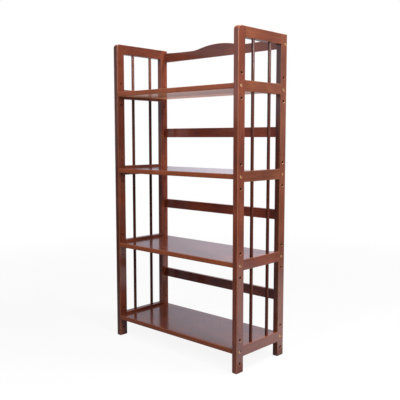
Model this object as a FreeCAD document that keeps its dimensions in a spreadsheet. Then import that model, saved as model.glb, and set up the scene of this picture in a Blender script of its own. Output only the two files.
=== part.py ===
import FreeCAD
import Part
import Sketcher
import math
import os

# A free-standing bookcase: two slatted side frames, four shelf boards bolted between them,
# three straight back rails and a crest rail with a raised middle.
# Millimetres, +Z up, front towards -Y, origin on the floor under the middle of the case.

sizes = {
    # the case, and the heights that add up to it: floor to shelf, shelf to shelf, and shelf to top
    "overall_width": 650,
    "overall_depth": 280,
    "lowest_shelf": 76,
    "shelf_pitch": 308.5,
    "top_tier": 198.5,
    # side frames: posts, rails and round slats
    "post_thickness": 22,
    "post_depth": 36,
    "post_round": 2.5,
    "corner_round": 15,
    "joint_arris": 0.6,
    "foot_arris": 1.5,
    "rail_height": 38,
    "rail_round": 1.2,
    "slat_diameter": 12,
    "slat_spacing": 95,
    "slat_socket": 12,
    "slat_play": 0.2,
    # shelf boards, and the step between the holes in the posts that they are bolted through
    "hole_step": 42.5,
    "shelf_thickness": 18,
    "shelf_setback": 3.5,
    "shelf_round": 3,
    # back rails and crest rail
    "back_height": 38,
    "back_thickness": 13,
    "back_setback": 3.5,
    "back_round": 1.5,
    "crest_height": 34,
    "crest_end_lift": 5,
    "crest_crown_rise": 16,
    "crest_dip_offset": 142,
    "crest_bend_run": 46,
    "crest_bolt_rise": 16,
    # bolts and barrel nuts
    "bolt_diameter": 6,
    "bolt_play": 0.6,
    "head_diameter": 9.4,
    "head_height": 4.5,
    "head_play": 0.6,
    "head_recess": 2.5,
    "hole_arris": 1,
    "hex_radius": 2.3,
    "hex_depth": 2.5,
    "bolt_tip": 1,
    "nut_inset": 24,
    "nut_diameter": 10,
    "nut_length": 12,
    "crest_nut_length": 8,
    "thread_play": 0.2,
    "nut_play": 0.2,
    # wooden dowels
    "dowel_diameter": 8,
    "dowel_length": 25,
    "dowel_edge": 8,
    "back_dowel_diameter": 6,
    "back_dowel_length": 24,
    "back_dowel_edge": 9,
    "dowel_play": 0.2,
    "end_play": 0.5,
}
shelf_count = 4

doc = FreeCAD.newDocument("bookcase")
sheet = doc.addObject("Spreadsheet::Sheet", "Sizes")
for row, (alias, number) in enumerate(sizes.items(), start=1):
    sheet.set(f"A{row}", alias)
    sheet.set(f"B{row}", str(number))
    sheet.setAlias(f"B{row}", alias)
doc.recompute()

# Places and sizes that several pieces share, as expressions on the sheet
half_width = "Sizes.overall_width / 2"
half_depth = "Sizes.overall_depth / 2"
overall_height = f"(Sizes.lowest_shelf + {shelf_count - 1} * Sizes.shelf_pitch + Sizes.top_tier)"
post_x = f"({half_width} - Sizes.post_thickness / 2)"
post_y = f"({half_depth} - Sizes.post_depth / 2)"
inner_width = "(Sizes.overall_width - 2 * Sizes.post_thickness)"
bay_depth = "(Sizes.overall_depth - 2 * Sizes.post_depth)"
back_y = f"({half_depth} - Sizes.back_setback - Sizes.back_thickness / 2)"
top_rail_z = f"({overall_height} - Sizes.rail_height / 2)"
crest_bottom = f"({overall_height} - Sizes.crest_height - Sizes.crest_crown_rise)"
crest_bolt_z = f"({crest_bottom} + Sizes.crest_bolt_rise)"
bolt_hole = "(Sizes.bolt_diameter + Sizes.bolt_play)"
head_hole = "(Sizes.head_diameter + Sizes.head_play)"
head_seat = "(Sizes.head_height + Sizes.head_recess)"
nut_hole = "(Sizes.nut_diameter + Sizes.nut_play)"
bolt_reach = "(Sizes.nut_inset + Sizes.nut_diameter / 2 + Sizes.bolt_tip)"
bolt_length = f"(Sizes.post_thickness - {head_seat} + {bolt_reach})"
dowel_hole = "(Sizes.dowel_diameter + Sizes.dowel_play)"
dowel_depth = "(Sizes.dowel_length / 2 + Sizes.end_play)"
dowel_offset = "(Sizes.rail_height / 2 - Sizes.dowel_edge)"
back_dowel_hole = "(Sizes.back_dowel_diameter + Sizes.dowel_play)"
back_dowel_depth = "(Sizes.back_dowel_length / 2 + Sizes.end_play)"
back_dowel_offset = "(Sizes.back_height / 2 - Sizes.back_dowel_edge)"
slat_hole = "(Sizes.slat_diameter + Sizes.slat_play)"

side_names = {-1: "left", 1: "right"}
end_names = {-1: "front", 1: "rear"}


def shelf_z(level):
    return f"(Sizes.lowest_shelf + {level} * Sizes.shelf_pitch)"


def back_rail_z(level):
    # Halfway between two shelves
    return shelf_z(level + 0.5)


def pair_at(height, offset, across="0"):
    # Two places, one above and one below a height
    return [(across, f"{height} + {step} * {offset}") for step in (-1, 1)]


def corners():
    return [(side, end) for side in side_names for end in end_names]


def size(alias):
    return float(sheet.get(alias))


def near(a, b):
    return abs(a - b) < 0.001


def bind(item, **expressions):
    for path, expression in expressions.items():
        item.setExpression(path.replace("__", "."), expression)


def place(item, x="0", y="0", z="0"):
    bind(item, Placement__Base__x=x, Placement__Base__y=y, Placement__Base__z=z)


# Sketches and features of the wooden pieces

def new_body(label):
    body = doc.addObject("PartDesign::Body", label)
    body.Label = label
    return body


def origin_of(body, role):
    return next(feature for feature in body.Origin.OriginFeatures if feature.Role == role)


def new_sketch(body, name, role, offset="0"):
    sketch = body.newObject("Sketcher::SketchObject", f"{body.Name}_{name}")
    sketch.AttachmentSupport = (origin_of(body, role), [""])
    sketch.MapMode = "FlatFace"
    sketch.setExpression("AttachmentOffset.Base.z", offset)
    return sketch


def limit(sketch, kind, expression, start, *reference):
    # A dimension of the sketch, which starts at the drawn value and then follows the expression
    index = sketch.addConstraint(Sketcher.Constraint(kind, *reference, start))
    sketch.setExpression(f"Constraints[{index}]", expression)


def pin(sketch, geometry, point, x, y):
    # Holds one point of the sketch at a place given by two expressions
    drawn = sketch.getPoint(geometry, point)
    limit(sketch, "DistanceX", x, drawn.x, -1, 1, geometry, point)
    limit(sketch, "DistanceY", y, drawn.y, -1, 1, geometry, point)


def rectangle(sketch, width, height, middle="0"):
    # Centred on the first axis, and on a given height of the second
    drawn = [(-1, -1), (1, -1), (1, 1), (-1, 1)]
    points = [FreeCAD.Vector(x, y, 0) for x, y in drawn]
    for corner in range(4):
        sketch.addGeometry(Part.LineSegment(points[corner], points[(corner + 1) % 4]))
    for corner in range(4):
        sketch.addConstraint(Sketcher.Constraint("Coincident", corner, 2, (corner + 1) % 4, 1))
    for corner, (x, y) in enumerate(drawn):
        pin(sketch, corner, 1, f"{x} * {width} / 2", f"{middle} + {y} * {height} / 2")


def circles(sketch, centres, diameter):
    for x, y in centres:
        geometry = sketch.addGeometry(Part.Circle(FreeCAD.Vector(), FreeCAD.Vector(0, 0, 1), 1))
        limit(sketch, "Diameter", diameter, 2, geometry)
        pin(sketch, geometry, 3, x, y)


def pad(body, sketch, length):
    feature = body.newObject("PartDesign::Pad", f"{sketch.Name}_pad")
    feature.Profile = sketch
    feature.SideType = "Symmetric"
    bind(feature, Length=length)
    doc.recompute()


def check_cut(body, volume_before):
    doc.recompute()
    if not body.Shape.Volume < volume_before:
        raise RuntimeError(f"a cut in {body.Label} removes nothing")


def drill(body, name, role, offset, centres, diameter, depth, reverse=False):
    # Blind round holes from a plane of the body, against its normal unless reversed
    volume = body.Shape.Volume
    sketch = new_sketch(body, name, role, offset)
    circles(sketch, centres, diameter)
    pocket = body.newObject("PartDesign::Pocket", f"{sketch.Name}_pocket")
    pocket.Profile = sketch
    pocket.Reversed = reverse
    bind(pocket, Length=depth)
    check_cut(body, volume)
    return pocket


def counterbore(body, name, offset, centres, reverse):
    # Through holes for bolts, widened from the outer face so that the heads sit below it
    volume = body.Shape.Volume
    sketch = new_sketch(body, name, "YZ_Plane", offset)
    circles(sketch, centres, head_hole)
    doc.recompute()
    hole = body.newObject("PartDesign::Hole", f"{sketch.Name}_hole")
    hole.Profile = sketch
    hole.ThreadType = "None"
    hole.DepthType = "ThroughAll"
    hole.HoleCutType = "Counterbore"
    hole.HoleCutCustomValues = True
    hole.Reversed = reverse
    bind(hole, Diameter=bolt_hole, HoleCutDiameter=head_hole, HoleCutDepth=head_seat)
    check_cut(body, volume)
    return hole


def repeat_up(body, feature, count):
    # The same cut again at every shelf pitch up the body
    volume = body.Shape.Volume
    pattern = body.newObject("PartDesign::LinearPattern", f"{feature.Name}_levels")
    pattern.Originals = [feature]
    pattern.Direction = (origin_of(body, "Z_Axis"), [""])
    pattern.Occurrences = count
    bind(pattern, Length=f"{count - 1} * Sizes.shelf_pitch")
    body.Tip = pattern
    check_cut(body, volume)


def mirror(body, feature, role):
    volume = body.Shape.Volume
    mirrored = body.newObject("PartDesign::Mirrored", f"{feature.Name}_mirrored")
    mirrored.Originals = [feature]
    mirrored.MirrorPlane = (origin_of(body, role), [""])
    body.Tip = mirrored
    check_cut(body, volume)


def soften(body, kind, name, picks, **expressions):
    # A fillet or chamfer along the edges whose boxes pass the test
    base = body.Tip
    edges = [f"Edge{index}" for index, edge in enumerate(base.Shape.Edges, start=1) if picks(edge.BoundBox)]
    feature = body.newObject(f"PartDesign::{kind}", f"{body.Name}_{name}")
    feature.Base = (base, edges)
    bind(feature, **expressions)
    doc.recompute()
    if not edges or not feature.isValid() or not feature.Shape.isValid():
        raise RuntimeError(f"{feature.Name} failed on {len(edges)} edges")


def along(box, *axes):
    # Whether an edge's box has no length except along the named axes
    lengths = {"x": box.XLength, "y": box.YLength, "z": box.ZLength}
    return all(near(lengths[axis], 0) for axis in lengths if axis not in axes)


# Side frames

def make_post(side, end):
    # Local frame: the middle of the foot. The outer face is at side * X, the outside face at end * Y,
    # and the face that the rails butt against looks into the frame.
    body = new_body(f"{end_names[end]}_{side_names[side]}_post")
    place(body, f"{side} * {post_x}", f"{end} * {post_y}")
    sketch = new_sketch(body, "profile", "YZ_Plane")
    rectangle(sketch, "Sizes.post_depth", overall_height, f"{overall_height} / 2")
    pad(body, sketch, "Sizes.post_thickness")
    top = body.Tip.Shape.BoundBox.ZMax
    outside = end * body.Tip.Shape.BoundBox.YMax

    def outside_top(box):
        return along(box, "x") and near(box.ZMin, top) and near(box.YMin, outside)

    def side_edges(box):
        on_rail_face = near(box.YMin, -outside) and near(box.YMax, -outside)
        return along(box, "y", "z") and not on_rail_face and not near(box.ZMax, 0)

    def foot_edges(box):
        return along(box, "x", "y") and near(box.ZMin, 0)

    def rail_face_edges(box):
        return along(box, "x", "z") and near(box.YMin, -outside) and box.ZMax > top / 2

    if end < 0:
        soften(body, "Fillet", "corner", outside_top, Radius="Sizes.corner_round")
        soften(body, "Fillet", "round", side_edges, Radius="Sizes.post_round")
    else:
        outer_edges = (lambda box: side_edges(box) or outside_top(box))
        soften(body, "Fillet", "round", outer_edges, Radius="Sizes.post_round")
    soften(body, "Chamfer", "foot", foot_edges, Size="Sizes.foot_arris")
    soften(body, "Chamfer", "joint", rail_face_edges, Size="Sizes.joint_arris")

    # shelf bolt holes: one at the shelf's middle and a spare one above and below it
    centres = [("0", f"{shelf_z(0)} + {step} * Sizes.hole_step") for step in (-1, 0, 1)]
    outer_face = f"{side} * Sizes.post_thickness / 2"
    holes = counterbore(body, "shelf_holes", outer_face, centres, side < 0)
    repeat_up(body, holes, shelf_count)

    # dowel holes for the side rails
    rail_face = f"{end} * Sizes.post_depth / 2"
    centres = pair_at(shelf_z(0), dowel_offset)
    holes = drill(body, "rail_dowels", "XZ_Plane", rail_face, centres, dowel_hole, dowel_depth, end < 0)
    repeat_up(body, holes, shelf_count)
    centres = pair_at(top_rail_z, dowel_offset)
    drill(body, "top_dowels", "XZ_Plane", rail_face, centres, dowel_hole, dowel_depth, end < 0)

    if end > 0:
        # dowel holes for the back rails, and the bolt hole of the crest rail
        inner_face = f"{-side} * Sizes.post_thickness / 2"
        local_back = f"({back_y} - {post_y})"
        centres = pair_at(back_rail_z(0), back_dowel_offset, local_back)
        holes = drill(body, "back_dowels", "YZ_Plane", inner_face, centres, back_dowel_hole, back_dowel_depth,
                      side > 0)
        repeat_up(body, holes, shelf_count - 1)
        counterbore(body, "crest_hole", outer_face, [(local_back, crest_bolt_z)], side < 0)

    # the counterbores' rims, broken where they open in the outer face
    rim_x = side * size("post_thickness") / 2
    rim_width = size("head_diameter") + size("head_play")

    def hole_rims(box):
        return along(box, "y", "z") and near(box.XMin, rim_x) and near(box.YLength, rim_width)

    soften(body, "Chamfer", "hole_rims", hole_rims, Size="Sizes.hole_arris")
    return body


def make_rail(label, side, height, sockets, top_round):
    # Local frame: the middle of the rail. Sockets are the faces that slats enter: 1 above, -1 below.
    body = new_body(label)
    place(body, f"{side} * {post_x}", "0", height)
    sketch = new_sketch(body, "section", "XZ_Plane")
    rectangle(sketch, "Sizes.post_thickness", "Sizes.rail_height")
    pad(body, sketch, bay_depth)
    soften(body, "Fillet", "top", lambda box: along(box, "y") and box.ZMin > 0, Radius=top_round)
    soften(body, "Fillet", "bottom", lambda box: along(box, "y") and box.ZMax < 0, Radius="Sizes.rail_round")
    centres = pair_at("0", dowel_offset)
    holes = drill(body, "dowels", "XZ_Plane", f"{bay_depth} / 2", centres, dowel_hole, dowel_depth)
    mirror(body, holes, "XZ_Plane")
    centres = pair_at("0", "Sizes.slat_spacing / 2")
    for face in sockets:
        name = "upper_sockets" if face > 0 else "lower_sockets"
        rail_face = f"{face} * Sizes.rail_height / 2"
        drill(body, name, "XY_Plane", rail_face, centres, slat_hole, "Sizes.slat_socket", face < 0)
    return body


def make_slat(label, side, end, low, high):
    # A round bar whose ends stand in sockets in the rails centred on low and high
    slat = doc.addObject("Part::Cylinder", label)
    reach = "(Sizes.slat_socket - Sizes.end_play - Sizes.rail_height / 2)"
    bind(slat, Radius="Sizes.slat_diameter / 2", Height=f"{high} - {low} + 2 * {reach}")
    place(slat, f"{side} * {post_x}", f"{end} * Sizes.slat_spacing / 2", f"{low} - {reach}")
    return slat


# Boards between the side frames

def make_shelf(level):
    # Local frame: the middle of the board
    body = new_body(f"shelf_{level + 1}")
    place(body, "0", "0", shelf_z(level))
    sketch = new_sketch(body, "board", "XY_Plane")
    rectangle(sketch, inner_width, "(Sizes.overall_depth - 2 * Sizes.shelf_setback)")
    pad(body, sketch, "Sizes.shelf_thickness")
    soften(body, "Fillet", "round", lambda box: along(box, "x"), Radius="Sizes.shelf_round")
    bolts = [(f"{end} * {post_y}", "0") for end in end_names]
    depth = f"{bolt_reach} + Sizes.end_play"
    holes = drill(body, "bolts", "YZ_Plane", f"{inner_width} / 2", bolts, bolt_hole, depth)
    mirror(body, holes, "YZ_Plane")
    nut_x = f"({inner_width} / 2 - Sizes.nut_inset)"
    nuts = [(f"{side} * {nut_x}", f"{end} * {post_y}") for side, end in corners()]
    depth = "(Sizes.shelf_thickness + Sizes.nut_length) / 2 + Sizes.end_play"
    drill(body, "nuts", "XY_Plane", "-Sizes.shelf_thickness / 2", nuts, nut_hole, depth, True)
    return body


def make_back_rail(level):
    # Local frame: the middle of the rail
    body = new_body(f"back_rail_{level + 1}")
    place(body, "0", back_y, back_rail_z(level))
    sketch = new_sketch(body, "face", "XZ_Plane")
    rectangle(sketch, inner_width, "Sizes.back_height")
    pad(body, sketch, "Sizes.back_thickness")
    soften(body, "Fillet", "round", lambda box: along(box, "x"), Radius="Sizes.back_round")
    end_face = f"{inner_width} / 2"
    centres = pair_at("0", back_dowel_offset)
    holes = drill(body, "dowels", "YZ_Plane", end_face, centres, back_dowel_hole, back_dowel_depth)
    mirror(body, holes, "YZ_Plane")
    return body


def arc(sketch, level_x, level_y, start, finish):
    # Drawn anticlockwise from start to finish, and level at one of its ends or its middle
    run = max(abs(start[0] - level_x), abs(finish[0] - level_x))
    rise = max(start[1] - level_y, finish[1] - level_y, key=abs)
    radius = (run ** 2 + rise ** 2) / (2 * rise)
    centre = FreeCAD.Vector(level_x, level_y + radius, 0)
    angles = [math.atan2(y - centre.y, x - centre.x) for x, y in (start, finish)]
    circle = Part.Circle(centre, FreeCAD.Vector(0, 0, 1), abs(radius))
    return sketch.addGeometry(Part.ArcOfCircle(circle, *angles))


def radius_over(run, rise):
    # Radius of an arc that starts level and covers a run and a rise
    return f"({run} * {run} + {rise} * {rise}) / (2 * {rise})"


def make_crest_rail():
    # Local frame: the middle of the bottom edge. The top edge falls from each end to a dip, then bends
    # up to a crown. Each arc is level at the dip or the crown, so the line through the dip, the bend
    # and the crown is straight and the arcs run smoothly into each other.
    body = new_body("crest_rail")
    place(body, "0", back_y, crest_bottom)
    half = f"({inner_width} / 2)"
    end_z = "(Sizes.crest_height + Sizes.crest_end_lift)"
    bend_x = "(Sizes.crest_dip_offset - Sizes.crest_bend_run)"
    bend_rise = "(Sizes.crest_crown_rise * Sizes.crest_bend_run / Sizes.crest_dip_offset)"
    bend_z = f"(Sizes.crest_height + {bend_rise})"

    half_drawn = size("overall_width") / 2 - size("post_thickness")
    dip = (size("crest_dip_offset"), size("crest_height"))
    end = (half_drawn, dip[1] + size("crest_end_lift"))
    crown_z = dip[1] + size("crest_crown_rise")
    share = size("crest_bend_run") / dip[0]
    bend = (dip[0] * (1 - share), dip[1] + size("crest_crown_rise") * share)

    def left(point):
        return (-point[0], point[1])

    def line(start, finish):
        ends = [FreeCAD.Vector(x, y, 0) for x, y in (start, finish)]
        return sketch.addGeometry(Part.LineSegment(*ends))

    sketch = new_sketch(body, "outline", "XZ_Plane")
    bottom = line((-half_drawn, 0), (half_drawn, 0))
    right_end = line((half_drawn, 0), end)
    right_fall = arc(sketch, *dip, dip, end)
    right_bend = arc(sketch, *dip, bend, dip)
    crown = arc(sketch, 0, crown_z, bend, left(bend))
    left_bend = arc(sketch, *left(dip), left(dip), left(bend))
    left_fall = arc(sketch, *left(dip), left(end), left(dip))
    left_end = line(left(end), (-half_drawn, 0))
    meetings = [(bottom, 2, right_end, 1), (right_end, 2, right_fall, 2), (right_fall, 1, right_bend, 2),
                (right_bend, 1, crown, 1), (crown, 2, left_bend, 2), (left_bend, 1, left_fall, 2),
                (left_fall, 1, left_end, 1), (left_end, 2, bottom, 1)]
    for meeting in meetings:
        sketch.addConstraint(Sketcher.Constraint("Coincident", *meeting))
    pin(sketch, bottom, 1, f"-{half}", "0")
    pin(sketch, bottom, 2, half, "0")
    pin(sketch, right_end, 2, half, end_z)
    pin(sketch, left_end, 1, f"-{half}", end_z)
    pin(sketch, right_fall, 1, "Sizes.crest_dip_offset", "Sizes.crest_height")
    pin(sketch, left_fall, 2, "-Sizes.crest_dip_offset", "Sizes.crest_height")
    pin(sketch, crown, 1, bend_x, bend_z)
    pin(sketch, crown, 2, f"-{bend_x}", bend_z)
    fall_radius = radius_over(f"({half} - Sizes.crest_dip_offset)", "Sizes.crest_end_lift")
    bend_radius = radius_over("Sizes.crest_bend_run", bend_rise)
    crown_radius = radius_over(bend_x, f"(Sizes.crest_crown_rise - {bend_rise})")
    radii = {right_fall: fall_radius, left_fall: fall_radius, right_bend: bend_radius, left_bend: bend_radius,
             crown: crown_radius}
    for geometry, expression in radii.items():
        limit(sketch, "Radius", expression, sketch.Geometry[geometry].Radius, geometry)
    pad(body, sketch, "Sizes.back_thickness")

    def long_edges(box):
        return along(box, "x", "z") and not near(box.XLength, 0)

    soften(body, "Fillet", "round", long_edges, Radius="Sizes.back_round")
    depth = f"{bolt_reach} + Sizes.end_play"
    centres = [("0", "Sizes.crest_bolt_rise")]
    holes = drill(body, "bolts", "YZ_Plane", f"{inner_width} / 2", centres, bolt_hole, depth)
    mirror(body, holes, "YZ_Plane")
    nut_x = f"({inner_width} / 2 - Sizes.nut_inset)"
    nuts = [(f"{side} * {nut_x}", "Sizes.crest_bolt_rise") for side in side_names]
    depth = "(Sizes.back_thickness + Sizes.crest_nut_length) / 2 + Sizes.end_play"
    drill(body, "nuts", "XZ_Plane", "-Sizes.back_thickness / 2", nuts, nut_hole, depth, True)
    return body


# Fasteners, each kind in groups of separate solids

def cylinder(name, diameter, length, z="0"):
    rod = doc.addObject("Part::Cylinder", name)
    bind(rod, Radius=f"{diameter} / 2", Height=length)
    place(rod, z=z)
    return rod


def boolean(kind, name, base, tool):
    result = doc.addObject(f"Part::{kind}", name)
    result.Base = base
    result.Tool = tool
    return result


def turn(item, axis, degrees):
    item.Placement = FreeCAD.Placement(FreeCAD.Vector(), FreeCAD.Rotation(FreeCAD.Vector(*axis), degrees))


def group(label, solids):
    compound = doc.addObject("Part::Compound", label)
    compound.Links = solids
    return compound


def make_bolt(name, side, y, z):
    # A cylinder-head bolt with a hexagon socket, driven in from the outer face of a post
    head = cylinder(f"{name}_head", "Sizes.head_diameter", "Sizes.head_height")
    shank = cylinder(f"{name}_shank", "Sizes.bolt_diameter", bolt_length, f"-{bolt_length}")
    socket = doc.addObject("Part::Prism", f"{name}_socket")
    socket.Polygon = 6
    bind(socket, Circumradius="Sizes.hex_radius", Height="Sizes.hex_depth")
    place(socket, z="Sizes.head_height - Sizes.hex_depth")
    bolt = boolean("Cut", name, boolean("Fuse", f"{name}_blank", head, shank), socket)
    turn(bolt, (0, 1, 0), side * 90)
    place(bolt, f"{side} * ({half_width} - {head_seat})", y, z)
    return bolt


def make_nut(name, side, y, z, length, lies_down):
    # A barrel nut with a cross hole that the bolt screws into
    barrel = cylinder(f"{name}_barrel", "Sizes.nut_diameter", length, f"-{length} / 2")
    thread = cylinder(f"{name}_thread", "(Sizes.bolt_diameter + Sizes.thread_play)", "2 * Sizes.nut_diameter")
    turn(thread, (0, 1, 0), 90)
    place(thread, x="-Sizes.nut_diameter")
    nut = boolean("Cut", name, barrel, thread)
    turn(nut, (1, 0, 0), 90 if lies_down else 0)
    place(nut, f"{side} * ({inner_width} / 2 - Sizes.nut_inset)", y, z)
    return nut


def make_dowel(name, diameter, length, axis, x, y, z):
    # A round dowel centred on the joint between two pieces
    dowel = cylinder(name, diameter, length)
    if axis == "x":
        turn(dowel, (0, 1, 0), 90)
        place(dowel, f"{x} - {length} / 2", y, z)
    else:
        turn(dowel, (1, 0, 0), -90)
        place(dowel, x, f"{y} - {length} / 2", z)
    return dowel


def make_shelf_fasteners(level):
    z = shelf_z(level)
    bolts = []
    nuts = []
    for side, end in corners():
        where = f"{end_names[end]}_{side_names[side]}_{level + 1}"
        bolts.append(make_bolt(f"bolt_{where}", side, f"{end} * {post_y}", z))
        nuts.append(make_nut(f"nut_{where}", side, f"{end} * {post_y}", z, "Sizes.nut_length", False))
    return [group(f"shelf_bolts_{level + 1}", bolts), group(f"barrel_nuts_{level + 1}", nuts)]


def make_crest_fasteners():
    bolts = []
    nuts = []
    for side, name in side_names.items():
        bolts.append(make_bolt(f"crest_bolt_{name}", side, back_y, crest_bolt_z))
        nuts.append(make_nut(f"crest_nut_{name}", side, back_y, crest_bolt_z, "Sizes.crest_nut_length", True))
    return [group("crest_bolts", bolts), group("crest_nuts", nuts)]


def make_frame_dowels(side):
    dowels = []
    for height in rail_heights:
        for end in end_names:
            for x, z in pair_at(height, dowel_offset, f"{side} * {post_x}"):
                name = f"dowel_{side_names[side]}_{len(dowels) + 1}"
                y = f"{end} * {bay_depth} / 2"
                dowels.append(make_dowel(name, "Sizes.dowel_diameter", "Sizes.dowel_length", "y", x, y, z))
    return group(f"frame_dowels_{side_names[side]}", dowels)


def make_back_dowels(level):
    dowels = []
    for side in side_names:
        for y, z in pair_at(back_rail_z(level), back_dowel_offset, back_y):
            name = f"back_dowel_{level + 1}_{len(dowels) + 1}"
            x = f"{side} * {inner_width} / 2"
            length = "Sizes.back_dowel_length"
            dowels.append(make_dowel(name, "Sizes.back_dowel_diameter", length, "x", x, y, z))
    return group(f"back_rail_dowels_{level + 1}", dowels)


# The whole case

rail_heights = [shelf_z(level) for level in range(shelf_count)] + [top_rail_z]
pieces = [make_post(side, end) for side, end in corners()]
for side, side_name in side_names.items():
    for level in range(shelf_count):
        faces = (1,) if level == 0 else (1, -1)
        label = f"side_rail_{side_name}_{level + 1}"
        pieces.append(make_rail(label, side, rail_heights[level], faces, "Sizes.rail_round"))
        for end, end_name in end_names.items():
            label = f"slat_{side_name}_{end_name}_{level + 1}"
            pieces.append(make_slat(label, side, end, rail_heights[level], rail_heights[level + 1]))
    pieces.append(make_rail(f"top_rail_{side_name}", side, top_rail_z, (-1,), "Sizes.post_round"))
    pieces.append(make_frame_dowels(side))
for level in range(shelf_count):
    pieces.append(make_shelf(level))
    pieces.extend(make_shelf_fasteners(level))
for level in range(shelf_count - 1):
    pieces.append(make_back_rail(level))
    pieces.append(make_back_dowels(level))
pieces.append(make_crest_rail())
pieces.extend(make_crest_fasteners())
doc.recompute()

for item in doc.Objects:
    if "Invalid" in item.State or "Error" in item.State:
        raise RuntimeError(f"{item.Label} failed: {item.State}")
for piece in pieces:
    if piece.Shape.isNull() or not piece.Shape.isValid():
        raise RuntimeError(f"{piece.Label} has no sound shape")

os.makedirs("parts", exist_ok=True)
for piece in pieces:
    piece.Shape.exportStep(f"parts/{piece.Label}.step")
solids = sum(len(piece.Shape.Solids) for piece in pieces)
print(f"{len(pieces)} pieces, {solids} solids")
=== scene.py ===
import bpy
from math import cos, pi, radians, sin
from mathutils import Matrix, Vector


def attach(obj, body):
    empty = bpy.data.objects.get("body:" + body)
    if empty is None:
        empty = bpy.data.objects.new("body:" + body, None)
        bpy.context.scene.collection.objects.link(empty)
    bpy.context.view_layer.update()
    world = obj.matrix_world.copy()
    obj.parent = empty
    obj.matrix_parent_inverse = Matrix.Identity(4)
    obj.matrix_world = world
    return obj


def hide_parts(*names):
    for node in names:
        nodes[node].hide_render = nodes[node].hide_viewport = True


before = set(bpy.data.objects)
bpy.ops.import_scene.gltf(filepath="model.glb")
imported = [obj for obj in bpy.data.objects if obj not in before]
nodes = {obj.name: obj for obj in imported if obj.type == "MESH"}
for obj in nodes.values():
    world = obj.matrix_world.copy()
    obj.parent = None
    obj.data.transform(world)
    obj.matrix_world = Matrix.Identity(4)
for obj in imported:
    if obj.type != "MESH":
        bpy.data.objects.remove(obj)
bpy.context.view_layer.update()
scene = bpy.context.scene
mm = 0.001
print("frame loaded,", len(nodes), "nodes")


# an sRGB hex colour as linear light
def hexToLinear(code):
    channels = [int(code[at:at + 2], 16) / 255 for at in (1, 3, 5)]
    return [c / 12.92 if c <= 0.04045 else ((c + 0.055) / 1.055) ** 2.4 for c in channels] + [1]


def addNode(tree, kind, settings=None, values=None, links=None, stops=()):
    node = tree.nodes.new(kind)
    for name, value in (settings or {}).items():
        setattr(node, name, value)
    for socket, value in (values or {}).items():
        node.inputs[socket].default_value = value
    for socket, source in (links or {}).items():
        tree.links.new(source, node.inputs[socket])
    for at, (place, colour) in enumerate(stops):
        elements = node.color_ramp.elements
        element = elements[at] if at < len(elements) else elements.new(place)
        element.position = place
        element.color = colour
    return node


# settings that many nodes share
ofColours = {"data_type": "RGBA"}
ofShares = {"data_type": "FLOAT"}
softly = {"interpolation_type": "SMOOTHSTEP"}
times = {"operation": "MULTIPLY"}
timesPlus = {"operation": "MULTIPLY_ADD"}
larger = {"operation": "MAXIMUM"}
unsigned = {"operation": "ABSOLUTE"}


def newMaterial(name):
    material = bpy.data.materials.new(name)
    material.use_nodes = True
    material.node_tree.nodes.clear()
    return material, material.node_tree


# camera where the photograph was taken from
photoCamera = {
    "place": (1.6288, -1.7380, 0.8239),
    "turn": 42.77,  # degrees round from straight at the front
    "tilt": -5.79,  # degrees up from level
    "lens": 54.72,  # mm
    "sensor": 36,   # mm across the square picture
}


def makeCamera(c):
    aim = (radians(90 + c["tilt"]), 0, radians(c["turn"]))
    bpy.ops.object.camera_add(location=c["place"], rotation=aim)
    camera = bpy.context.object
    camera.data.sensor_width = c["sensor"]
    camera.data.lens = c["lens"]
    scene.camera = camera


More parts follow.
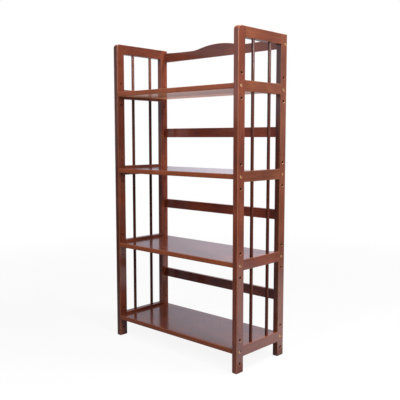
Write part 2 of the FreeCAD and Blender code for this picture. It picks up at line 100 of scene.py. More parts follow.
# studio with a pale floor, white surroundings, softboxes in front, at the right and above,
# lit boards on the floor at the right and behind, and a grey drape round the camera's side
studio = {
    "white": "#ffffff",
    "floorSize": 60,
    "floorColour": "#808086",
    "floorWhite": 0.9,           # share of plain white that the eye sees by the case, over the shaded paper
    "floorFade": (1.0, 3.0),     # metres away from where to where that becomes all white
    "glossColour": "#f0f0ff",    # the cool white that gloss shows
    # painted light: share of it glowing on the floor by metres to the right, a painted pool of light along
    # the case's right side
    "paintedFloorLightBeside": [(-0.1, 0.3), (0.1, 0.2), (0.27, 0.08), (0.36, 0.62)],
    # painted light and shade: share of it glowing on the floor in front, by metres back
    "paintedFloorLightAhead": [(-4.6, 0.16), (-3.4, 0.3), (-2.6, 0.08), (-1.0, 0.14), (-0.6, 0.22), (-0.25, 0.32)],
    "floorSpan": (-5.0, 1.0),    # metres that both lists are spread over
    "floorFront": -0.14,         # metres back where the front begins
    "floorFar": (0.4, 1.8),      # metres back from where to where the floor turns into the far floor
    "farSpan": (-11, 1),         # metres to the right of the far floor's two ends
    "farShares": (0.64, 0.2),    # painted light: share of it glowing at those ends
    "backdropTurn": 190,         # degrees round to the middle of the lit backdrop
    # share of it all round, by how near a direction is to that middle, as a cosine
    "glossLevels": [(-0.66, 0.96), (-0.6, 0.62), (-0.49, 0.5), (0.0, 0.1), (0.5, 0.1), (0.56, 0.24),
                    (0.616, 0.25), (0.656, 0.15), (0.707, 0.4), (0.76, 0.52), (0.797, 0.72),
                    (0.838, 0.9), (0.862, 1.0)],
    "glossHeight": (0.08, 0.2),  # sine of a direction's height from where to where that drops
    "glossAbove": 0.86,          # what is left of it above
    "fillColour": "#f0f0ff",     # light from all round on what isn't glossy
    "fillLevel": 0.12,
    # place, what it is aimed at, width and height in metres, watts
    "lamps": {
        "frontStrip": ((0.35, -2.08, 2.32), (0.35, 0, 0.75), 0.35, 1.6, 39),
        "sideSoftbox": ((2.23, -0.5, 1.8), (0, 0, 0.75), 0.5, 1.1, 35),
        "highSoftbox": ((1.05, 0.5, 2.35), (0, 0, 0.75), 0.6, 0.6, 34),
        "floorBoard": ((1.06, 0.6, 0.01), (1.06, 0.6, 1), 1.4, 1.4, 2.8),  # at the right
        "backBoard": ((-0.3, 1.0, 0.01), (-0.3, 1.0, 1), 1.2, 0.6, 35),    # behind, lights the undersides
    },
    "unmirrored": ("backBoard",),  # lamps that gloss doesn't show
    "drapeColour": "#70707c",
    "drapeRound": (-48, 85),     # degrees round from the front towards the right
    "drapeReach": 2.7,           # metres away
    "drapeHeight": 1.0,
    "drapeSteps": 12,
}


# matt studio paper, white to the eye but for the soft shadow of the case; in reflections it glows with
# painted light and shade instead
def makeFloor(s):
    bpy.ops.mesh.primitive_plane_add(size=s["floorSize"])
    floor = bpy.context.object
    floor.name = "paleFloor"
    material, tree = newMaterial("studio paper, matt")
    path = addNode(tree, "ShaderNodeLightPath")
    tint = addNode(tree, "ShaderNodeMix", ofColours,
                   {"A": hexToLinear(s["floorColour"]), "B": hexToLinear(s["white"])},
                   {"Factor": path.outputs["Is Camera Ray"]})
    paper = addNode(tree, "ShaderNodeBsdfDiffuse", links={"Color": tint.outputs[2]})
    white = addNode(tree, "ShaderNodeEmission", values={"Color": hexToLinear(s["white"]), "Strength": 1})
    # what gloss shows is painted light and shade glowing on the floor: the floor beside, then the far
    # floor, and the floor ahead
    gloss = addNode(tree, "ShaderNodeMath", larger,
                    links={0: path.outputs["Is Glossy Ray"], 1: path.outputs["Is Transmission Ray"]})
    place = addNode(tree, "ShaderNodeTexCoord")
    spot = addNode(tree, "ShaderNodeSeparateXYZ", links={0: place.outputs["Object"]})
    low, high = s["floorSpan"]
    across, along = [addNode(tree, "ShaderNodeMapRange", values={"From Min": low, "From Max": high},
                             links={"Value": spot.outputs[way]}) for way in ("X", "Y")]
    beside, ahead = [
        addNode(tree, "ShaderNodeValToRGB", links={0: way.outputs[0]},
                stops=[((at - low) / (high - low), (share, share, share, 1)) for at, share in shares])
        for way, shares in ((across, s["paintedFloorLightBeside"]), (along, s["paintedFloorLightAhead"]))]
    begins, ends = s["floorFar"]
    far = addNode(tree, "ShaderNodeMapRange", values={"From Min": begins, "From Max": ends},
                  links={"Value": spot.outputs["Y"]})
    left, right = s["farSpan"]
    leftShare, rightShare = s["farShares"]
    beyond = addNode(tree, "ShaderNodeMapRange",
                     values={"From Min": left, "From Max": right,
                             "To Min": leftShare, "To Max": rightShare},
                     links={"Value": spot.outputs["X"]})
    behind = addNode(tree, "ShaderNodeMix", ofShares,
                     links={"Factor": far.outputs[0], "A": beside.outputs[0], "B": beyond.outputs[0]})
    before = addNode(tree, "ShaderNodeMapRange", values={"From Min": 0, "From Max": s["floorFront"]},
                     links={"Value": spot.outputs["Y"]})
    level = addNode(tree, "ShaderNodeMix", ofShares,
                    links={"Factor": before.outputs[0], "A": behind.outputs[0], "B": ahead.outputs[0]})
    cool = addNode(tree, "ShaderNodeEmission", values={"Color": hexToLinear(s["glossColour"])},
                   links={"Strength": level.outputs[0]})
    shown = addNode(tree, "ShaderNodeMixShader",
                    links={0: gloss.outputs[0], 1: paper.outputs[0], 2: cool.outputs[0]})
    # what the eye sees: paper with its shadow by the case, plain white further off
    nearby, away = s["floorFade"]
    reach = addNode(tree, "ShaderNodeVectorMath", {"operation": "LENGTH"},
                    links={0: place.outputs["Object"]})
    clear = addNode(tree, "ShaderNodeMapRange",
                    values={"From Min": nearby, "From Max": away, "To Min": s["floorWhite"], "To Max": 1},
                    links={"Value": reach.outputs["Value"]})
    seen = addNode(tree, "ShaderNodeMath", times,
                   links={0: path.outputs["Is Camera Ray"], 1: clear.outputs[0]})
    mix = addNode(tree, "ShaderNodeMixShader",
                  links={0: seen.outputs[0], 1: shown.outputs[0], 2: white.outputs[0]})
    addNode(tree, "ShaderNodeOutputMaterial", links={"Surface": mix.outputs[0]})
    floor.data.materials.append(material)


def makeSurround(s):
    world = bpy.data.worlds.new("white studio")
    scene.world = world
    world.use_nodes = True
    tree = world.node_tree
    tree.nodes.clear()
    path = addNode(tree, "ShaderNodeLightPath")
    gloss = addNode(tree, "ShaderNodeMath", larger,
                    links={0: path.outputs["Is Glossy Ray"], 1: path.outputs["Is Transmission Ray"]})
    fill = addNode(tree, "ShaderNodeBackground",
                   values={"Color": hexToLinear(s["fillColour"]), "Strength": s["fillLevel"]})
    # level of a direction, flattened and set against the middle of the backdrop
    place = addNode(tree, "ShaderNodeTexCoord")
    turn = radians(s["backdropTurn"])
    flat = addNode(tree, "ShaderNodeVectorMath", times, {1: (1, 1, 0)}, {0: place.outputs["Generated"]})
    unit = addNode(tree, "ShaderNodeVectorMath", {"operation": "NORMALIZE"}, links={0: flat.outputs[0]})
    way = addNode(tree, "ShaderNodeVectorMath", {"operation": "DOT_PRODUCT"},
                  {1: (sin(turn), -cos(turn), 0)}, {0: unit.outputs[0]})
    back = addNode(tree, "ShaderNodeMapRange", values={"From Min": -1, "From Max": 1},
                   links={"Value": way.outputs["Value"]})
    level = addNode(tree, "ShaderNodeValToRGB", links={0: back.outputs[0]},
                    stops=[((look + 1) / 2, (share, share, share, 1)) for look, share in s["glossLevels"]])
    up = addNode(tree, "ShaderNodeSeparateXYZ", links={0: place.outputs["Generated"]})
    low, high = s["glossHeight"]
    fade = addNode(tree, "ShaderNodeMapRange",
                   values={"From Min": low, "From Max": high, "To Min": 1, "To Max": s["glossAbove"]},
                   links={"Value": up.outputs["Z"]})
    faded = addNode(tree, "ShaderNodeMath", times, links={0: level.outputs[0], 1: fade.outputs[0]})
    cool = addNode(tree, "ShaderNodeBackground", values={"Color": hexToLinear(s["glossColour"])},
                   links={"Strength": faded.outputs[0]})
    white = addNode(tree, "ShaderNodeBackground", values={"Color": hexToLinear(s["white"]), "Strength": 1})
    shown = addNode(tree, "ShaderNodeMixShader",
                    links={0: gloss.outputs[0], 1: fill.outputs[0], 2: cool.outputs[0]})
    mix = addNode(tree, "ShaderNodeMixShader",
                  links={0: path.outputs["Is Camera Ray"], 1: shown.outputs[0], 2: white.outputs[0]})
    addNode(tree, "ShaderNodeOutputWorld", links={"Surface": mix.outputs[0]})


# matt grey cloth hung round the camera's side, so that the front faces mirror something darker than white
def makeDrape(s):
    material, tree = newMaterial("drape cloth, grey")
    cloth = addNode(tree, "ShaderNodeBsdfDiffuse", values={"Color": hexToLinear(s["drapeColour"])})
    addNode(tree, "ShaderNodeOutputMaterial", links={"Surface": cloth.outputs[0]})
    start, end = [radians(turn) for turn in s["drapeRound"]]
    bpy.ops.mesh.primitive_plane_add(size=1)
    drape = bpy.context.object
    drape.name = "drapeFront"
    bpy.ops.object.mode_set(mode="EDIT")
    bpy.ops.mesh.delete(type="ONLY_FACE")
    bpy.ops.mesh.select_all(action="SELECT")
    bpy.ops.mesh.merge(type="CENTER")
    bpy.ops.transform.translate(value=(s["drapeReach"] * sin(start), -s["drapeReach"] * cos(start), 0))
    bpy.ops.mesh.extrude_region_move(TRANSFORM_OT_translate={"value": (0, 0, s["drapeHeight"])})
    bpy.ops.mesh.select_all(action="SELECT")
    # a positive spin about +Z goes clockwise
    bpy.ops.mesh.spin(steps=s["drapeSteps"], angle=start - end, center=(0, 0, 0), axis=(0, 0, 1))
    bpy.ops.object.mode_set(mode="OBJECT")
    drape.data.materials.append(material)
    drape.visible_camera = False


def makeLamps(s):
    for name, (place, aim, width, height, power) in s["lamps"].items():
        turn = (Vector(aim) - Vector(place)).to_track_quat("-Z", "Y").to_euler()
        bpy.ops.object.light_add(type="AREA", location=place, rotation=turn)
        lamp = bpy.context.object
        lamp.name = name
        lamp.visible_camera = False
        lamp.visible_glossy = name not in s["unmirrored"]
        lamp.data.shape = "RECTANGLE"
        lamp.data.size = width
        lamp.data.size_y = height
        lamp.data.energy = power


# stained rubberwood under sprayed gloss lacquer: a red-brown stain that lies darker in the fibres
# and pores, unevenly taken from patch to patch, below a clear coat that mirrors at low angles
# it also carries painted light: shade in the bolt holes and on some front faces, highlights on the arrises,
# and light below the boards
stainedWood = {
    "deep": "#5a2a1c",
    "stain": "#7a3c28",
    "pale": "#955036",
    "stops": (0.3, 0.5, 0.7),   # how far the wood shows through at deep, stain and pale
    "baseShare": 0.06,          # what that starts from, and what each pattern adds to it
    "ringShare": 0.16,
    "fibreShare": 0.3,
    "cloudShare": 0.5,
    "seedShift": (37.0, 91.0, 53.0),  # moves the patterns on from piece to piece
    "fibre": 2.0,               # mm across a fibre streak, drawn coarser than the real 0.3 so that it shows
    "fibreStretch": 26,         # times longer along the grain than across
    "fibreDetail": 4,
    "fibreRoughness": 0.6,
    "ring": 30,                 # mm across a growth figure
    "rings": 6,                 # lines in it
    "ringFold": 0.5,            # the pattern runs up to this and back once a line
    "ringDetail": 1.5,
    "ringDistortion": 0.5,
    "cloud": 120,               # mm across a patch where the stain took unevenly
    "cloudDetail": 2.5,
    "pore": 0.9,                # mm across a pore, drawn coarser than the real 0.2
    "poreStretch": 14,
    "poreDetail": 2,
    "poreFrom": 0.4,            # levels of the pattern between which a pore sets in
    "poreTo": 0.32,
    "poreShare": 0.4,
    "grainBump": 0.25,
    "grainDepth": 0.15,         # mm
    "roughness": 0.45,
    "specular": 0.05,
    "coatIor": 1.62,
    "coatRoughness": 0.15,
    "peel": 5,                  # mm across the ripple that the spray leaves in the lacquer
    "peelDetail": 1,
    "peelBump": 0.1,
    "peelDepth": 0.1,           # mm
    # each From and To below are parts of the normal between which a finish sets in
    "endGrain": "#4a1f15",
    "endFrom": 0.75,
    "endTo": 0.95,
    "endShare": 0.7,
    "arris": "#c07f58",         # painted highlight along the rounded arrises, where sanding has also thinned the stain
    "arrisFrom": 0.98,
    "arrisTo": 0.8,
    "arrisShare": 0.65,
    "frontFrom": -0.5,          # the posts' front faces, where painted shade goes
    "frontTo": -0.9,
    "innerFrom": 0.3,           # the posts' inner faces
    "innerTo": 0.8,
    "innerCoat": 0.75,          # share of lacquer there
    "boreShade": "#3a160d",          # painted shade in the bolt holes
    "boreFrom": 0.95,
    "boreTo": 0.3,
    # mm along X, Y and Z to the middle of where the holes lie, and each way from there
    "boreBlock": ((312.6, 9.3), (122, 14), (600, 594)),
    "boreCoat": 0.1,            # share of lacquer in the holes
    "edge": "#b0603e",          # the lighter front and rear edges of the boards
    "edgeDeep": "#944c2e",
    "edgeFrom": 0.55,
    "edgeTo": 0.85,
    "edgeShare": 0.85,
    "edgeCoat": 0.3,            # share of lacquer there
    "under": "#c88d68",         # paler below the boards: partly the thinner stain there, partly painted light from below
    "underDeep": "#a96e4c",
    "underFrom": -0.6,
    "underTo": -0.9,
    "underShare": 0.9,
    "underCoat": 0.48,          # share of lacquer there
    "slatCoat": 0.35,           # share of lacquer on the slats
    "topSlatCoat": 0.9,         # and on those that took more of it, high up
    "topSlats": ("_4", "right_front_3", "right_rear_3"),
}

# how light each piece is drawn: partly its own stain, partly painted light and shade; then painted warm
# light, and painted shade on some posts' front faces
pieceToneAndPaintedLight = {
    "shelf_1": 0.77,
    "front_left_post": 0.82,
    "front_right_post": 1.02,
    "rear_left_post": 1.08,
    "rear_right_post": 1.02,
    "side_rail_right": 1.05,
    "top_rail_left": 0.84,
    "top_rail_right": 0.9,
    "crest_rail": 0.85,
    # the back rails drawn lighter: painted light where the lamps reach them less
    "back_rail_1": 1.0,
    "back_rail": 1.4,
    # the slats lighter at the top and darker lower down and on the left: painted light and shade
    "slat_left_front_4": 0.9,
    "slat_left_rear_4": 0.9,
    "slat_left_front_3": 0.6,
    "slat_left": 0.4,
    "slat_right": 0.6,
}
# painted warm light: the upper right pieces drawn more golden, as warm light from above would show them
paintedWarmLight = {
    "side_rail_right_3": 1.16,
    "side_rail_right_4": 1.16,
    "top_rail_right": 1.1,
    "rear_right_post": 1.12,
}
# painted shade: the front faces of two posts drawn darker, where the front light reaches them less
paintedFrontShade = {"front_left_post": 0.7, "rear_right_post": 0.7}

# axis that the grain runs along
grainRuns = {
    "post": 2,
    "slat": 2,
    "side_rail": 1,
    "top_rail": 1,
    "shelf": 0,
    "back_rail": 0,
    "crest_rail": 0,
}


def makeStainedWood(name, run, seed, w):
    material, tree = newMaterial(f"stained wood {name}")
    tone = next((pieceToneAndPaintedLight[kind] for kind in pieceToneAndPaintedLight if name.startswith(kind)), 1)
    warmth = paintedWarmLight.get(name, 1)

    # each colour scaled by the piece's tone, which is partly painted light, and by its painted warm light
    def stained(code):
        red, green, blue, alpha = hexToLinear(code)
        return red * tone, green * tone * warmth, blue * tone, alpha

    # patterns in the wood
    place = addNode(tree, "ShaderNodeTexCoord")
    shift = [seed * step for step in w["seedShift"]]
    fibrePlace, porePlace = [
        addNode(tree, "ShaderNodeMapping",
                values={"Location": shift,
                        "Scale": [1 / mm / (stretch if axis == run else 1) for axis in range(3)]},
                links={"Vector": place.outputs["Object"]})
        for stretch in (w["fibreStretch"], w["poreStretch"])]
    fibre = addNode(tree, "ShaderNodeTexNoise",
                    values={"Scale": 1 / w["fibre"], "Detail": w["fibreDetail"],
                            "Roughness": w["fibreRoughness"]},
                    links={"Vector": fibrePlace.outputs[0]})
    figure = addNode(tree, "ShaderNodeTexNoise",
                     values={"Scale": 1 / w["ring"], "Detail": w["ringDetail"],
                             "Distortion": w["ringDistortion"]},
                     links={"Vector": fibrePlace.outputs[0]})
    turns = addNode(tree, "ShaderNodeMath", times, {1: w["rings"]}, {0: figure.outputs[0]})
    rings = addNode(tree, "ShaderNodeMath", {"operation": "PINGPONG"}, {1: w["ringFold"]},
                    {0: turns.outputs[0]})
    cloudPlace = addNode(tree, "ShaderNodeMapping", values={"Location": shift},
                         links={"Vector": place.outputs["Object"]})
    cloud = addNode(tree, "ShaderNodeTexNoise",
                    values={"Scale": 1 / (w["cloud"] * mm), "Detail": w["cloudDetail"]},
                    links={"Vector": cloudPlace.outputs[0]})
    pore = addNode(tree, "ShaderNodeTexNoise", values={"Scale": 1 / w["pore"], "Detail": w["poreDetail"]},
                   links={"Vector": porePlace.outputs[0]})

    # stain over them
    ringed = addNode(tree, "ShaderNodeMath", timesPlus, {1: w["ringShare"], 2: w["baseShare"]},
                     {0: rings.outputs[0]})
    streaked = addNode(tree, "ShaderNodeMath", timesPlus, {1: w["fibreShare"]},
                       {0: fibre.outputs[0], 2: ringed.outputs[0]})
    taken = addNode(tree, "ShaderNodeMath", timesPlus, {1: w["cloudShare"]},
                    {0: cloud.outputs[0], 2: streaked.outputs[0]})
    least, middle, most = w["stops"]
    stain = addNode(tree, "ShaderNodeValToRGB", links={0: taken.outputs[0]},
                    stops=[(least, stained(w["deep"])), (middle, stained(w["stain"])),
                           (most, stained(w["pale"]))])
    poreMask = addNode(tree, "ShaderNodeMapRange", softly,
                       {"From Min": w["poreFrom"], "From Max": w["poreTo"], "To Max": w["poreShare"]},
                       {"Value": pore.outputs[0]})
    pored = addNode(tree, "ShaderNodeMix", ofColours, {"B": stained(w["endGrain"])},
                    {"Factor": poreMask.outputs[0], "A": stain.outputs[0]})
    facing = addNode(tree, "ShaderNodeSeparateXYZ", links={0: place.outputs["Normal"]})
    endOn = addNode(tree, "ShaderNodeMath", unsigned, links={0: facing.outputs[run]})
    endMask = addNode(tree, "ShaderNodeMapRange", softly,
                      {"From Min": w["endFrom"], "From Max": w["endTo"], "To Max": w["endShare"]},
                      {"Value": endOn.outputs[0]})
    colour = addNode(tree, "ShaderNodeMix", ofColours, {"B": stained(w["endGrain"])},
                     {"Factor": endMask.outputs[0], "A": pored.outputs[2]})

    lacquer = 1
    coat = {}
    if "slat" in name:
        lacquer = w["topSlatCoat"] if name.endswith(w["topSlats"]) else w["slatCoat"]
    else:
        # a normal between the axes means a rounded arris
        sizes = addNode(tree, "ShaderNodeVectorMath", unsigned, links={0: place.outputs["Normal"]})
        parts = addNode(tree, "ShaderNodeSeparateXYZ", links={0: sizes.outputs[0]})
        flatPart = addNode(tree, "ShaderNodeMath", larger,
                           links={0: parts.outputs["X"], 1: parts.outputs["Y"]})
        mainPart = addNode(tree, "ShaderNodeMath", larger,
                           links={0: flatPart.outputs[0], 1: parts.outputs["Z"]})
        arrisMask = addNode(tree, "ShaderNodeMapRange", softly,
                            {"From Min": w["arrisFrom"], "From Max": w["arrisTo"],
                             "To Max": w["arrisShare"]},
                            {"Value": mainPart.outputs[0]})
        # painted highlight along the rounded arrises, with the stain sanded thinner there
        colour = addNode(tree, "ShaderNodeMix", ofColours, {"B": stained(w["arris"])},
                         {"Factor": arrisMask.outputs[0], "A": colour.outputs[2]})
        peel = addNode(tree, "ShaderNodeTexNoise",
                       values={"Scale": 1 / (w["peel"] * mm), "Detail": w["peelDetail"]},
                       links={"Vector": place.outputs["Object"]})
        ripple = addNode(tree, "ShaderNodeBump",
                         values={"Strength": w["peelBump"], "Distance": w["peelDepth"] * mm},
                         links={"Height": peel.outputs[0]})
        coat["Coat Normal"] = ripple.outputs[0]

    if "post" in name:
        # painted shade on the front faces of some posts
        darker = paintedFrontShade.get(name, 1)
        frontShadeMask = addNode(tree, "ShaderNodeMapRange",
                            values={"From Min": w["frontFrom"], "From Max": w["frontTo"]},
                            links={"Value": facing.outputs["Y"]})
        colour = addNode(tree, "ShaderNodeMix", {**ofColours, "blend_type": "MULTIPLY"},
                         {"B": (darker, darker, darker, 1)},
                         {"Factor": frontShadeMask.outputs[0], "A": colour.outputs[2]})
        # painted shade in the bolt holes, up to a little below their rims
        inside = addNode(tree, "ShaderNodeVectorMath", unsigned, links={0: place.outputs["Object"]})
        spot = addNode(tree, "ShaderNodeSeparateXYZ", links={0: inside.outputs[0]})
        boreMask = addNode(tree, "ShaderNodeMapRange",
                           values={"From Min": w["boreFrom"], "From Max": w["boreTo"]},
                           links={"Value": parts.outputs["X"]})
        for axis, (centre, reach) in enumerate(w["boreBlock"]):
            near = addNode(tree, "ShaderNodeMath", {"operation": "COMPARE"},
                           {1: centre * mm, 2: reach * mm}, {0: spot.outputs[axis]})
            boreMask = addNode(tree, "ShaderNodeMath", times,
                               links={0: boreMask.outputs[0], 1: near.outputs[0]})
        colour = addNode(tree, "ShaderNodeMix", ofColours, {"B": hexToLinear(w["boreShade"])},
                         {"Factor": boreMask.outputs[0], "A": colour.outputs[2]})
        bare = addNode(tree, "ShaderNodeMath", larger,
                       links={0: boreMask.outputs[0], 1: arrisMask.outputs[0]})
        # the spray reaches a post's inner face less
        inward = 1 if "left" in name else -1
        inner = addNode(tree, "ShaderNodeMapRange",
                        values={"From Min": w["innerFrom"] * inward, "From Max": w["innerTo"] * inward,
                                "To Min": 1, "To Max": w["innerCoat"]},
                        links={"Value": facing.outputs["X"]})
        dry = addNode(tree, "ShaderNodeMix", ofShares, {"B": w["boreCoat"]},
                      {"Factor": bare.outputs[0], "A": inner.outputs[0]})
        coat["Coat Weight"] = dry.outputs[0]

    if "shelf" in name:
        # board edges are lighter and more orange than the faces, and the undersides paler: partly thinner
        # stain, partly painted light from below
        front = addNode(tree, "ShaderNodeMath", unsigned, links={0: facing.outputs["Y"]})
        edgeMask = addNode(tree, "ShaderNodeMapRange", softly,
                           {"From Min": w["edgeFrom"], "From Max": w["edgeTo"], "To Max": w["edgeShare"]},
                           {"Value": front.outputs[0]})
        underMask = addNode(tree, "ShaderNodeMapRange", softly,
                            {"From Min": w["underFrom"], "From Max": w["underTo"],
                             "To Max": w["underShare"]},
                            {"Value": facing.outputs["Z"]})
        for mask, deep, pale in ((edgeMask, "edgeDeep", "edge"), (underMask, "underDeep", "under")):
            thinner = addNode(tree, "ShaderNodeValToRGB", links={0: taken.outputs[0]},
                              stops=[(least, stained(w[deep])), (most, stained(w[pale]))])
            colour = addNode(tree, "ShaderNodeMix", ofColours,
                             links={"Factor": mask.outputs[0], "A": colour.outputs[2],
                                    "B": thinner.outputs[0]})
        lower = addNode(tree, "ShaderNodeMapRange", values={"To Min": 1, "To Max": w["underCoat"]},
                        links={"Value": underMask.outputs[0]})
        thin = addNode(tree, "ShaderNodeMix", ofShares, {"B": w["edgeCoat"]},
                       {"Factor": edgeMask.outputs[0], "A": lower.outputs[0]})
        coat["Coat Weight"] = thin.outputs[0]

    height = addNode(tree, "ShaderNodeMath", {"operation": "SUBTRACT"},
                     links={0: fibre.outputs[0], 1: poreMask.outputs[0]})
    grain = addNode(tree, "ShaderNodeBump",
                    values={"Strength": w["grainBump"], "Distance": w["grainDepth"] * mm},
                    links={"Height": height.outputs[0]})
    surface = addNode(tree, "ShaderNodeBsdfPrincipled",
                      values={"Roughness": w["roughness"], "Specular IOR Level": w["specular"],
                              "Coat Weight": lacquer, "Coat Roughness": w["coatRoughness"],
                              "Coat IOR": w["coatIor"]},
                      links={"Base Color": colour.outputs[2], "Normal": grain.outputs[0], **coat})
    addNode(tree, "ShaderNodeOutputMaterial", links={"Surface": surface.outputs[0]})
    return material


def stainWood():
    for seed, (name, piece) in enumerate(sorted(nodes.items())):
        run = next((grainRuns[kind] for kind in grainRuns if kind in name), None)
        if run is None or any(kind in name for kind in ("bolts", "nuts", "dowels")):
            continue
        piece.material_slots[0].material = makeStainedWood(name, run, seed, stainedWood)


# beech dowels: pale turned wood with short flecks, left bare for the glue
beech = {
    "light": "#d9b98c",
    "dark": "#b98f5e",
    "stops": (0.35, 0.6),
    "fleck": 0.8,      # mm across a fleck
    "stretch": 8,      # times longer along Y
    "detail": 3,
    "roughness": 0.6,
    "bump": 0.3,
    "bumpDepth": 0.1,  # mm
}


def makeBeech(b):
    material, tree = newMaterial("beech, turned and bare")
    place = addNode(tree, "ShaderNodeTexCoord")
    along = addNode(tree, "ShaderNodeMapping", values={"Scale": (1 / mm, 1 / mm / b["stretch"], 1 / mm)},
                    links={"Vector": place.outputs["Object"]})
    fleck = addNode(tree, "ShaderNodeTexNoise", values={"Scale": 1 / b["fleck"], "Detail": b["detail"]},
                    links={"Vector": along.outputs[0]})
    low, high = b["stops"]
    colour = addNode(tree, "ShaderNodeValToRGB", links={0: fleck.outputs[0]},
                     stops=[(low, hexToLinear(b["dark"])), (high, hexToLinear(b["light"]))])
    bump = addNode(tree, "ShaderNodeBump", values={"Strength": b["bump"], "Distance": b["bumpDepth"] * mm},
                   links={"Height": fleck.outputs[0]})
    surface = addNode(tree, "ShaderNodeBsdfPrincipled", values={"Roughness": b["roughness"]},
                      links={"Base Color": colour.outputs[0], "Normal": bump.outputs[0]})
    addNode(tree, "ShaderNodeOutputMaterial", links={"Surface": surface.outputs[0]})
    return material


# brass-plated steel: yellow metal with a satin tumble finish, browner and rougher where it has dulled
brassPlate = {
    "bright": "#ffe9b8",
    "dull": "#e2bd7e",
    "stops": (0.4, 0.7),
    "patch": 2.5,                # mm across a dulled patch
    "patchDetail": 3,
    "roughStops": (0.3, 0.7),
    "roughBright": 0.39,
    "roughDull": 0.55,
    "grit": 0.5,                 # mm across a tumble mark
    "gritDetail": 2,
    "bump": 0.15,
    "bumpDepth": 0.05,           # mm
}


def makeBrass(b):
    material, tree = newMaterial("brass plate, satin")
    place = addNode(tree, "ShaderNodeTexCoord")
    patch = addNode(tree, "ShaderNodeTexNoise",
                    values={"Scale": 1 / (b["patch"] * mm), "Detail": b["patchDetail"]},
                    links={"Vector": place.outputs["Object"]})
    low, high = b["stops"]
    colour = addNode(tree, "ShaderNodeValToRGB", links={0: patch.outputs[0]},
                     stops=[(low, hexToLinear(b["bright"])), (high, hexToLinear(b["dull"]))])
    begins, ends = b["roughStops"]
    rough = addNode(tree, "ShaderNodeMapRange",
                    values={"From Min": begins, "From Max": ends,
                            "To Min": b["roughBright"], "To Max": b["roughDull"]},
                    links={"Value": patch.outputs[0]})
    grit = addNode(tree, "ShaderNodeTexNoise",
                   values={"Scale": 1 / (b["grit"] * mm), "Detail": b["gritDetail"]},
                   links={"Vector": place.outputs["Object"]})
    bump = addNode(tree, "ShaderNodeBump", values={"Strength": b["bump"], "Distance": b["bumpDepth"] * mm},
                   links={"Height": grit.outputs[0]})
    surface = addNode(tree, "ShaderNodeBsdfPrincipled", values={"Metallic": 1},
                      links={"Base Color": colour.outputs[0], "Roughness": rough.outputs[0],
                             "Normal": bump.outputs[0]})
    addNode(tree, "ShaderNodeOutputMaterial", links={"Surface": surface.outputs[0]})
    return material


# zinc-plated steel nuts: cool grey turned metal with faint rings
zincSteel = {
    "light": "#c3c5c8",
    "dark": "#8f9297",
    "stops": (0.35, 0.65),
    "cut": 0.4,         # mm across a turning mark
    "stretch": 20,      # times longer round the nut
    "detail": 3,
    "roughness": 0.34,
    "bump": 0.2,
    "bumpDepth": 0.05,  # mm
}


def makeZinc(z):
    material, tree = newMaterial("zinc plate on turned steel")
    place = addNode(tree, "ShaderNodeTexCoord")
    cuts = addNode(tree, "ShaderNodeMapping",
                   values={"Scale": (1 / mm / z["stretch"], 1 / mm / z["stretch"], 1 / mm)},
                   links={"Vector": place.outputs["Object"]})
    cut = addNode(tree, "ShaderNodeTexNoise", values={"Scale": 1 / z["cut"], "Detail": z["detail"]},
                  links={"Vector": cuts.outputs[0]})
    low, high = z["stops"]
    colour = addNode(tree, "ShaderNodeValToRGB", links={0: cut.outputs[0]},
                     stops=[(low, hexToLinear(z["dark"])), (high, hexToLinear(z["light"]))])
    bump = addNode(tree, "ShaderNodeBump", values={"Strength": z["bump"], "Distance": z["bumpDepth"] * mm},
                   links={"Height": cut.outputs[0]})
    surface = addNode(tree, "ShaderNodeBsdfPrincipled", values={"Metallic": 1, "Roughness": z["roughness"]},
                      links={"Base Color": colour.outputs[0], "Normal": bump.outputs[0]})
    addNode(tree, "ShaderNodeOutputMaterial", links={"Surface": surface.outputs[0]})
    return material


slack = 0.01 * mm             # points this near a face count as on it
squareOn = 0.9                # part of a normal that counts as facing along an axis
crispAngle = 35               # degrees, edges of the metal pieces that are sharper stay crisp
alongX = (0, radians(90), 0)  # turn that lays an upright cylinder along X


def deselectAll():
    if bpy.context.mode != "OBJECT":
        bpy.ops.object.mode_set(mode="OBJECT")
    bpy.ops.object.select_all(action="DESELECT")


def pickFaces(piece, wanted):
    bpy.ops.mesh.select_all(action="DESELECT")
    bpy.ops.object.mode_set(mode="OBJECT")
    for face in piece.data.polygons:
        face.select = wanted(face)
    bpy.ops.object.mode_set(mode="EDIT")
    bpy.ops.mesh.select_mode(type="FACE")


def pickEdges(piece, wanted):
    bpy.ops.mesh.select_mode(type="EDGE")
    bpy.ops.mesh.select_all(action="DESELECT")
    bpy.ops.object.mode_set(mode="OBJECT")
    points = piece.data.vertices
    for edge in piece.data.edges:
        edge.select = all(wanted(points[v].co) for v in edge.vertices)
    bpy.ops.object.mode_set(mode="EDIT")
    bpy.ops.mesh.select_mode(type="EDGE")


def applyPlace(piece):
    bpy.ops.object.transform_apply(location=True, rotation=True, scale=True)
    return piece


def cutWith(piece, tool):
    deselectAll()
    bpy.context.view_layer.objects.active = piece
    piece.select_set(True)
    cut = piece.modifiers.new("cut", "BOOLEAN")
    cut.operation = "DIFFERENCE"
    cut.solver = "EXACT"
    cut.object = tool
    bpy.ops.object.modifier_apply(modifier="cut")
    bpy.data.objects.remove(tool)


def finishMetal(piece):
    deselectAll()
    bpy.context.view_layer.objects.active = piece
    piece.select_set(True)
    bpy.ops.object.mode_set(mode="EDIT")
    bpy.ops.mesh.select_all(action="SELECT")
    bpy.ops.mesh.normals_make_consistent(inside=False)
    bpy.ops.object.mode_set(mode="OBJECT")
    bpy.ops.object.shade_smooth_by_angle(angle=radians(crispAngle))


# socket-head bolt with a turned head, made along +X with its seat at the origin, in mm
socketBolt = {
    "sides": 40,
    "headRadius": 4.7,
    "headHeight": 5.6,
    "headBevel": 1.6,
    "headSegments": 4,
    "socketSides": 6,
    "socketRadius": 2.3,
    "socketDepth": 2.5,
    "drillPoint": 0.8,    # depth of the cone at the socket's floor
    "drillTip": 0.1,      # share of the socket's width at its tip
    "shankRadius": 2.95,
    "plainLength": 20,
    "threadPitch": 1.5,
    "threadTurns": 16,
    "threadDepth": 0.35,
    "tip": 0.9,           # share of the thread's core at the end
}


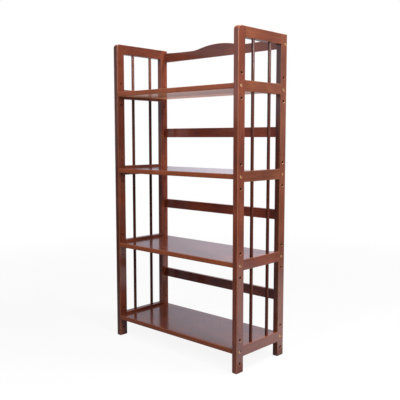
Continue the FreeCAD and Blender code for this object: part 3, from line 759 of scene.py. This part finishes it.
def makeBolt(b):
    deselectAll()
    top = b["headHeight"] * mm
    bpy.ops.mesh.primitive_cylinder_add(vertices=b["sides"], radius=b["headRadius"] * mm, depth=top,
                                        location=(top / 2, 0, 0), rotation=alongX)
    bolt = applyPlace(bpy.context.object)
    bpy.ops.object.mode_set(mode="EDIT")
    pickFaces(bolt, lambda face: face.normal.x < -squareOn)
    bpy.ops.mesh.inset(thickness=(b["headRadius"] - b["shankRadius"]) * mm)
    bpy.ops.mesh.extrude_region_move(TRANSFORM_OT_translate={"value": (-b["plainLength"] * mm, 0, 0)})
    # thread: the shank steps in and out once a pitch, and ends narrower
    narrow = 1 - b["threadDepth"] / b["shankRadius"]
    half = b["threadPitch"] / 2 * mm
    for size in [narrow, 1 / narrow] * b["threadTurns"] + [narrow * b["tip"]]:
        bpy.ops.mesh.extrude_region_move(TRANSFORM_OT_translate={"value": (-half, 0, 0)})
        bpy.ops.transform.resize(value=(1, size, size), center_override=(0, 0, 0))
    pickEdges(bolt, lambda p: p.x > top - slack)
    bpy.ops.mesh.bevel(offset=b["headBevel"] * mm, segments=b["headSegments"], affect="EDGES")
    bpy.ops.object.mode_set(mode="OBJECT")
    # hexagon socket with a drill point at its floor, cut by a key that stands out of the head by as much
    deselectAll()
    bpy.ops.mesh.primitive_cylinder_add(vertices=b["socketSides"], radius=b["socketRadius"] * mm,
                                        depth=b["socketDepth"] * 2 * mm, location=(top, 0, 0),
                                        rotation=alongX)
    key = applyPlace(bpy.context.object)
    bpy.ops.object.mode_set(mode="EDIT")
    pickFaces(key, lambda face: face.normal.x < -squareOn)
    bpy.ops.mesh.extrude_region_move(TRANSFORM_OT_translate={"value": (-b["drillPoint"] * mm, 0, 0)})
    bpy.ops.transform.resize(value=(1, b["drillTip"], b["drillTip"]), center_override=(0, 0, 0))
    bpy.ops.object.mode_set(mode="OBJECT")
    cutWith(bolt, key)
    finishMetal(bolt)
    return bolt


# barrel nut, made upright at the origin with its screwdriver slot below and its thread hole along X, in mm
barrelNut = {
    "sides": 40,
    "radius": 4.95,
    "bevel": 0.6,
    "bevelSegments": 3,
    "holeSides": 24,
    "holeRadius": 3.0,
    "slotWidth": 1.4,
    "slotDepth": 1.2,
    "cutReach": 3,  # length in radii of what cuts the hole and the slot, so that it stands out
}


def makeNut(n, height):
    deselectAll()
    bpy.ops.mesh.primitive_cylinder_add(vertices=n["sides"], radius=n["radius"] * mm, depth=height * mm)
    nut = bpy.context.object
    end = height / 2 * mm - slack
    bpy.ops.object.mode_set(mode="EDIT")
    for side in (1, -1):
        pickEdges(nut, lambda p: p.z * side > end)
        bpy.ops.mesh.bevel(offset=n["bevel"] * mm, segments=n["bevelSegments"], affect="EDGES")
    bpy.ops.object.mode_set(mode="OBJECT")
    reach = n["radius"] * n["cutReach"] * mm
    deselectAll()
    bpy.ops.mesh.primitive_cylinder_add(vertices=n["holeSides"], radius=n["holeRadius"] * mm, depth=reach,
                                        rotation=alongX)
    cutWith(nut, applyPlace(bpy.context.object))
    deselectAll()
    bpy.ops.mesh.primitive_cube_add(size=1, location=(0, 0, -height / 2 * mm),
                                    scale=(n["slotWidth"] * mm, reach, n["slotDepth"] * 2 * mm))
    cutWith(nut, applyPlace(bpy.context.object))
    finishMetal(nut)
    return nut


def copyTo(master, place, turn=(0, 0, 0)):
    deselectAll()
    master.select_set(True)
    bpy.context.view_layer.objects.active = master
    bpy.ops.object.duplicate(linked=False)
    copy = bpy.context.object
    copy.rotation_euler = turn
    copy.location = [value * mm for value in place]
    return applyPlace(copy)


def joinAs(copies, name, node, material):
    deselectAll()
    for copy in copies:
        copy.select_set(True)
    bpy.context.view_layer.objects.active = copies[0]
    bpy.ops.object.join()
    piece = bpy.context.object
    piece.name = name
    piece.data.materials.clear()
    piece.data.materials.append(material)
    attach(piece, "root")
    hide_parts(node)


# where the bolts and nuts go, in mm
fittings = {
    "seat": 318,
    "nutX": 279,
    "boltY": 122,
    "shelves": 4,
    "firstZ": 76,  # the lowest shelf's bolts
    "shelfPitch": 308.5,
    "nutHeight": 12,
    "crestY": 130,
    "crestZ": 1166,
    "crestNutHeight": 8,
}


def fitBolts(f):
    brass = makeBrass(brassPlate)
    zinc = makeZinc(zincSteel)
    bolt = makeBolt(socketBolt)
    nut = makeNut(barrelNut, f["nutHeight"])
    crestNut = makeNut(barrelNut, f["crestNutHeight"])
    toLeft = (0, 0, pi)
    for level in range(1, f["shelves"] + 1):
        z = f["firstZ"] + (level - 1) * f["shelfPitch"]
        bolts = []
        nuts = []
        for y in (-f["boltY"], f["boltY"]):
            bolts.append(copyTo(bolt, (f["seat"], y, z)))
            bolts.append(copyTo(bolt, (-f["seat"], y, z), toLeft))
            nuts.append(copyTo(nut, (f["nutX"], y, z)))
            nuts.append(copyTo(nut, (-f["nutX"], y, z)))
        joinAs(bolts, f"brassBolts{level}", f"shelf_bolts_{level}", brass)
        joinAs(nuts, f"barrelNuts{level}", f"barrel_nuts_{level}", zinc)
    y, z = f["crestY"], f["crestZ"]
    slotToBack = (radians(90), 0, 0)  # the crest nuts lie on their side
    bolts = [copyTo(bolt, (f["seat"], y, z)), copyTo(bolt, (-f["seat"], y, z), toLeft)]
    nuts = [copyTo(crestNut, (side * f["nutX"], y, z), slotToBack) for side in (1, -1)]
    joinAs(bolts, "brassCrestBolts", "crest_bolts", brass)
    joinAs(nuts, "crestNuts", "crest_nuts", zinc)
    for master in (bolt, nut, crestNut):
        bpy.data.objects.remove(master)


makeCamera(photoCamera)
makeFloor(studio)
makeSurround(studio)
makeDrape(studio)
makeLamps(studio)
print("camera and studio ready")

stainWood()
beechWood = makeBeech(beech)
for name, piece in nodes.items():
    if "dowels" in name:
        piece.material_slots[0].material = beechWood
print("wood stained and lacquered")

fitBolts(fittings)
print("bolts and nuts fitted")

scene.view_settings.view_transform = "Standard"
